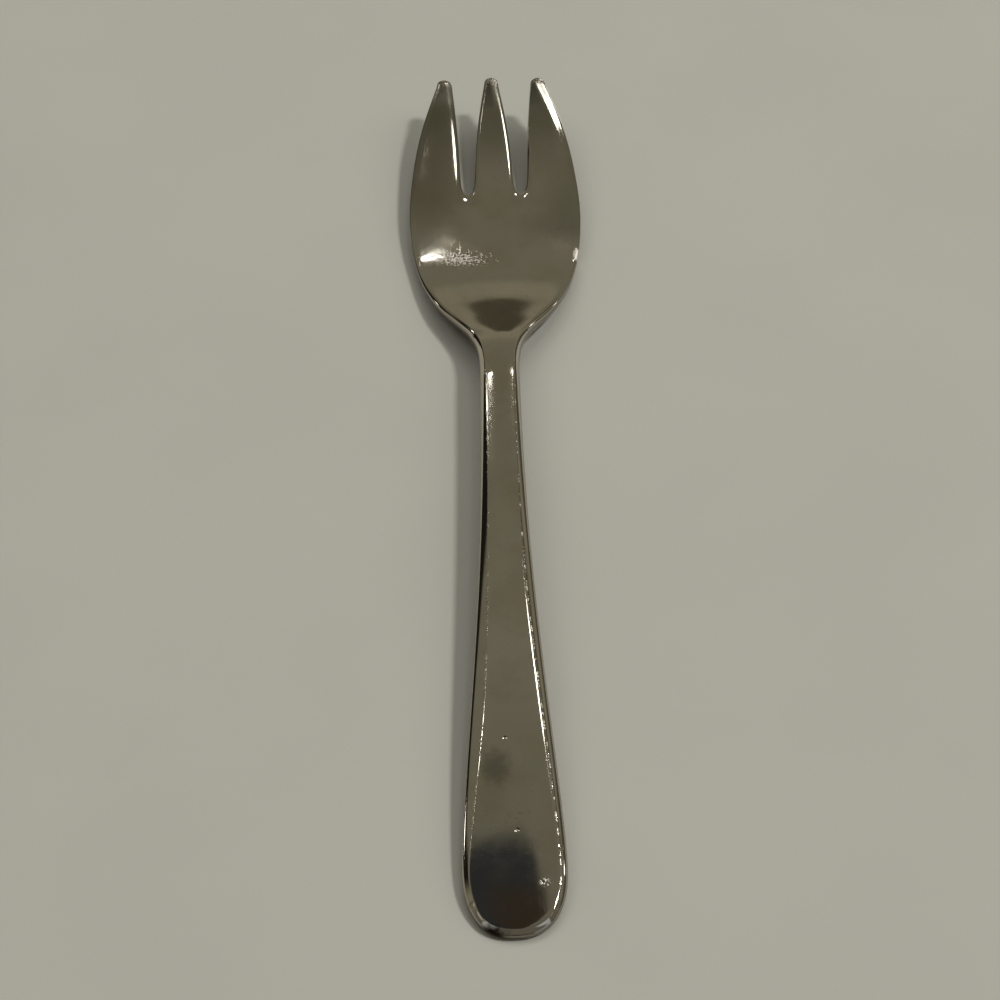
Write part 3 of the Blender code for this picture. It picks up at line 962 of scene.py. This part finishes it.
# Colour of the room by height above the horizon, as the sine of the elevation
ROOM_BANDS = (
    (0.00, (0.20, 0.19, 0.15)),
    (0.34, (0.225, 0.21, 0.16)),
    (0.37, (0.25, 0.235, 0.175)),
    (0.43, (0.24, 0.225, 0.17)),
    (0.48, (0.185, 0.175, 0.132)),
    (0.71, (0.19, 0.18, 0.138)),
    (0.77, (0.175, 0.167, 0.127)),
    (0.81, (0.196, 0.187, 0.138)),
    (0.86, (0.21, 0.198, 0.158)),
    (0.90, (0.18, 0.172, 0.128)),
    (1.00, (0.17, 0.16, 0.13)),
)

# Colours of what stands in the room
NEAR_SIDE = (0.14, 0.13, 0.105)
DARK_CORNER = (0.012, 0.011, 0.009)
WINDOW_GREY = (0.44, 0.46, 0.48)
PANELLING = (0.085, 0.08, 0.062)
DOORWAY = (0.068, 0.062, 0.041)
HATCH = (0.031, 0.033, 0.036)
HATCH_BROWN = (0.036, 0.029, 0.021)
PALE_WALL = (0.38, 0.37, 0.32)

# Windows behind the viewer: side, where -1 is left, then inner edge, bottom and top on a unit sphere
WINDOWS = (
    (-1.0, 0.44, 0.20, 0.62),
    (1.0, 0.40, 0.12, 0.44),
)
WINDOW_BLUR = 0.06

# Name, azimuth from the far side to the right, elevation, width and height in millimetres, power in watts,
# and whether the polished metal mirrors it
LAMPS = (
    ("key_lamp", 76.0, 53.0, 510.0, 510.0, 63.0, True),
    ("right_lamp", 26.4, 56.6, 350.0, 500.0, 3.6, True),
    ("left_lamp", -30.0, 59.3, 260.0, 150.0, 1.1, True),
    ("far_right_lamp", 8.5, 44.75, 130.0, 78.0, 0.76, True),
    ("far_left_lamp", -11.8, 45.0, 150.0, 44.0, 0.3, True),
    ("far_left_small_lamp", -15.8, 46.0, 50.0, 44.0, 0.1, True),
    ("left_low_lamp", -61.5, 17.0, 180.0, 180.0, 0.68, True),
    ("right_low_lamp", 68.5, 12.5, 240.0, 240.0, 0.72, True),
    ("far_soft_lamp", 5.0, 50.0, 2700.0, 1500.0, 27.0, False),
    ("left_soft_lamp", -50.0, 45.0, 2100.0, 2100.0, 22.0, False),
    ("right_soft_lamp", 90.0, 35.0, 2100.0, 2100.0, 20.0, False),
)


def room_bands(t, z):
    """Colour of the bare room, by height."""
    ramp = t.add("ShaderNodeValToRGB", {"Fac": z})
    stops = ramp.color_ramp.elements
    while len(stops) < len(ROOM_BANDS):
        stops.new(0.5)
    for stop, (height, colour) in zip(stops, ROOM_BANDS):
        stop.position = height
        stop.color = rgba(colour)
    return ramp.outputs["Color"]


def room_surroundings(t, x, y, z):
    """Coats for what stands round the fork, up to the height of a door."""
    near = t.between(y, 0.1, -0.2)
    corner = t.times(t.between(x, -0.40, -0.50), t.between(y, 0.15, 0.35), t.between(z, 0.54, 0.42))
    coats = [(near, NEAR_SIDE), (corner, DARK_CORNER)]
    behind = t.between(y, -0.38, -0.44)
    for side, inner, bottom, top in WINDOWS:
        outward = t.between(t.times(x, side), inner, inner + WINDOW_BLUR)
        coats.append((t.times(outward, behind, t.band(z, bottom, top, WINDOW_BLUR)), WINDOW_GREY))

    # Dark rail and dark skirting ahead on the right
    rail = t.band(z, 0.50, 0.62, 0.03)
    skirting = t.between(z, 0.33, 0.22)
    panelling = t.times(t.between(x, 0.42, 0.52), t.largest(rail, skirting), t.between(y, -0.10, 0.05))

    # Doorway straight ahead, whose top falls away from the middle on both sides
    off_centre = t.math("ABSOLUTE", x)
    lintel = t.raised(z, off_centre, -0.35)
    doorway = t.times(t.between(lintel, 0.348, 0.335), t.between(off_centre, 0.06, 0.04))
    return coats + [(panelling, PANELLING), (doorway, DOORWAY)]


def room_ceiling(t, x, y, z):
    """Coats for the dark hatch overhead, whose far corner is round and whose near part is brown."""
    overhead = t.between(z, 0.88, 0.90)
    past_side = t.largest(t.math("SUBTRACT", x, 0.02), 0.0)
    past_end = t.largest(t.math("SUBTRACT", y, 0.305), 0.0)
    past_corner = t.math("MULTIPLY_ADD", past_end, past_end, t.times(past_side, past_side))
    hatch = t.times(t.between(t.math("SQRT", past_corner), 0.049, 0.036), overhead)
    brown = t.times(t.between(x, -0.07, -0.05), t.between(x, 0.088, 0.072), t.between(y, 0.308, 0.298))
    return [(hatch, HATCH), (t.times(brown, overhead), HATCH_BROWN)]


def room_horizon(t, x, y, z):
    """Coat for the pale walls low down, ahead and on the left."""
    wall = t.largest(t.between(y, 0.85, 0.93), t.between(x, -0.85, -0.93))
    return [(t.times(wall, t.between(z, 0.21, 0.16)), PALE_WALL)]


def light_room(scene, stage):
    """Dim warm room as the world, for the polished metal to mirror."""
    world = bpy.data.worlds.new("room")
    scene.world = world
    t = NodeTree(world)
    direction = t.add("ShaderNodeTexCoord").outputs["Generated"]
    axes = t.add("ShaderNodeSeparateXYZ", {"Vector": direction})
    x, y, z = (axes.outputs[name] for name in "XYZ")
    colour = room_bands(t, z)
    for coats in (room_surroundings, room_ceiling, room_horizon):
        colour = t.coated(colour, coats(t, x, y, z))
    surface = t.add("ShaderNodeBackground", {"Color": colour, "Strength": stage.room_strength})
    t.add("ShaderNodeOutputWorld", {"Surface": surface.outputs["Background"]})


def add_lamp(name, azimuth, elevation, width, height, power, mirrored, stage):
    """A lamp at a distance from the fork, facing it."""
    across = math.cos(math.radians(elevation))
    towards = Vector((across * math.sin(math.radians(azimuth)), across * math.cos(math.radians(azimuth)),
                      math.sin(math.radians(elevation))))
    bpy.ops.object.light_add(type="AREA", location=towards * stage.lamp_distance)
    lamp = bpy.context.object
    lamp.name = name
    lamp.rotation_euler = towards.to_track_quat("Z", "Y").to_euler()
    lamp.visible_glossy = mirrored
    lamp.data.shape = "ELLIPSE"
    lamp.data.size = width * MM
    lamp.data.size_y = height * MM
    lamp.data.energy = power * stage.lamp_strength


def add_camera(stage):
    """The camera, tilted and rolled round the point that it looks at."""
    turn = Matrix.Rotation(stage.view_tilt, 4, "X") @ Matrix.Rotation(stage.view_roll, 4, "Z")
    back = turn @ Vector((0.0, 0.0, stage.view_distance))
    bpy.ops.object.camera_add(location=Vector(stage.view_aim) + back, rotation=turn.to_euler())
    camera = bpy.context.object
    camera.data.lens = stage.view_lens
    camera.data.clip_start = 10 * MM
    bpy.context.scene.camera = camera


class CHILDFORK_OT_body(bpy.types.Operator):
    """Model the fork's body from a sheet and give it its worn plating"""

    bl_idname = "childfork.body"
    bl_label = "Polished Fork"
    bl_options = {"REGISTER", "UNDO"}

    def execute(self, context):
        size = context.scene.fork_sizes
        shape = ForkShape(size)
        piece = add_sheet(shape)
        cut_slots(piece, shape)
        draw_down(piece, shape)
        mark_wear(piece, shape)
        apply_modifier(piece, "MIRROR", use_clip=True, merge_threshold=0.01 * MM)
        crease_bevel(piece, shape)
        wear_face(piece, shape)
        apply_modifier(piece, "SUBSURF", levels=size.smoothing, render_levels=size.smoothing)
        press_blank(piece, shape)
        grind_rests(piece)
        polish_surface(piece, size)
        if not stays_in_box(piece, CAD_BOX):
            raise RuntimeError("The polished fork reaches out of the frame's box")
        bpy.ops.object.shade_smooth_by_angle(angle=math.radians(40))
        piece.data.materials.clear()
        piece.data.materials.append(worn_plating(context.scene.plating_finish))
        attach(piece, CAD_BODY)
        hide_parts(CAD_NODE)
        return {"FINISHED"}


class CHILDFORK_OT_stage(bpy.types.Operator):
    """Set the pale table, the lamps, the room and the camera"""

    bl_idname = "childfork.stage"
    bl_label = "Table and Light"
    bl_options = {"REGISTER", "UNDO"}

    def execute(self, context):
        stage = context.scene.stage_settings
        context.scene.view_settings.view_transform = "Standard"
        bpy.ops.object.select_all(action="DESELECT")
        bpy.ops.mesh.primitive_plane_add(size=stage.table_size, location=(0.0, 0.0, -stage.table_gap))
        table = context.object
        table.name = "table_top"
        table.data.materials.append(table_top(stage))
        light_room(context.scene, stage)
        for lamp in LAMPS:
            add_lamp(*lamp, stage)
        add_camera(stage)
        return {"FINISHED"}


class CHILDFORK_PT_panel(bpy.types.Panel):
    """Lists the fork's operators and settings"""

    bl_label = "Child Fork"
    bl_idname = "CHILDFORK_PT_panel"
    bl_space_type = "VIEW_3D"
    bl_region_type = "UI"
    bl_category = "Child Fork"

    def draw(self, context):
        layout = self.layout
        for operator in OPERATORS:
            layout.operator(operator.bl_idname)
        for group in SETTINGS:
            settings = getattr(context.scene, group)
            column = layout.column(align=True)
            for name in settings.bl_rna.properties.keys():
                if name not in ("rna_type", "name"):
                    column.prop(settings, name)


OPERATORS = (CHILDFORK_OT_body, CHILDFORK_OT_stage)
SETTINGS = {"fork_sizes": ForkSizes, "plating_finish": PlatingFinish, "stage_settings": StageSettings}


def register():
    for name, group in SETTINGS.items():
        bpy.utils.register_class(group)
        setattr(bpy.types.Scene, name, PointerProperty(type=group))
    for operator in OPERATORS:
        bpy.utils.register_class(operator)
    bpy.utils.register_class(CHILDFORK_PT_panel)


def unregister():
    bpy.utils.unregister_class(CHILDFORK_PT_panel)
    for operator in reversed(OPERATORS):
        bpy.utils.unregister_class(operator)
    for name, group in SETTINGS.items():
        delattr(bpy.types.Scene, name)
        bpy.utils.unregister_class(group)


def main():
    register()
    bpy.ops.childfork.body()
    bpy.ops.childfork.stage()


if __name__ == "__main__":
    main()
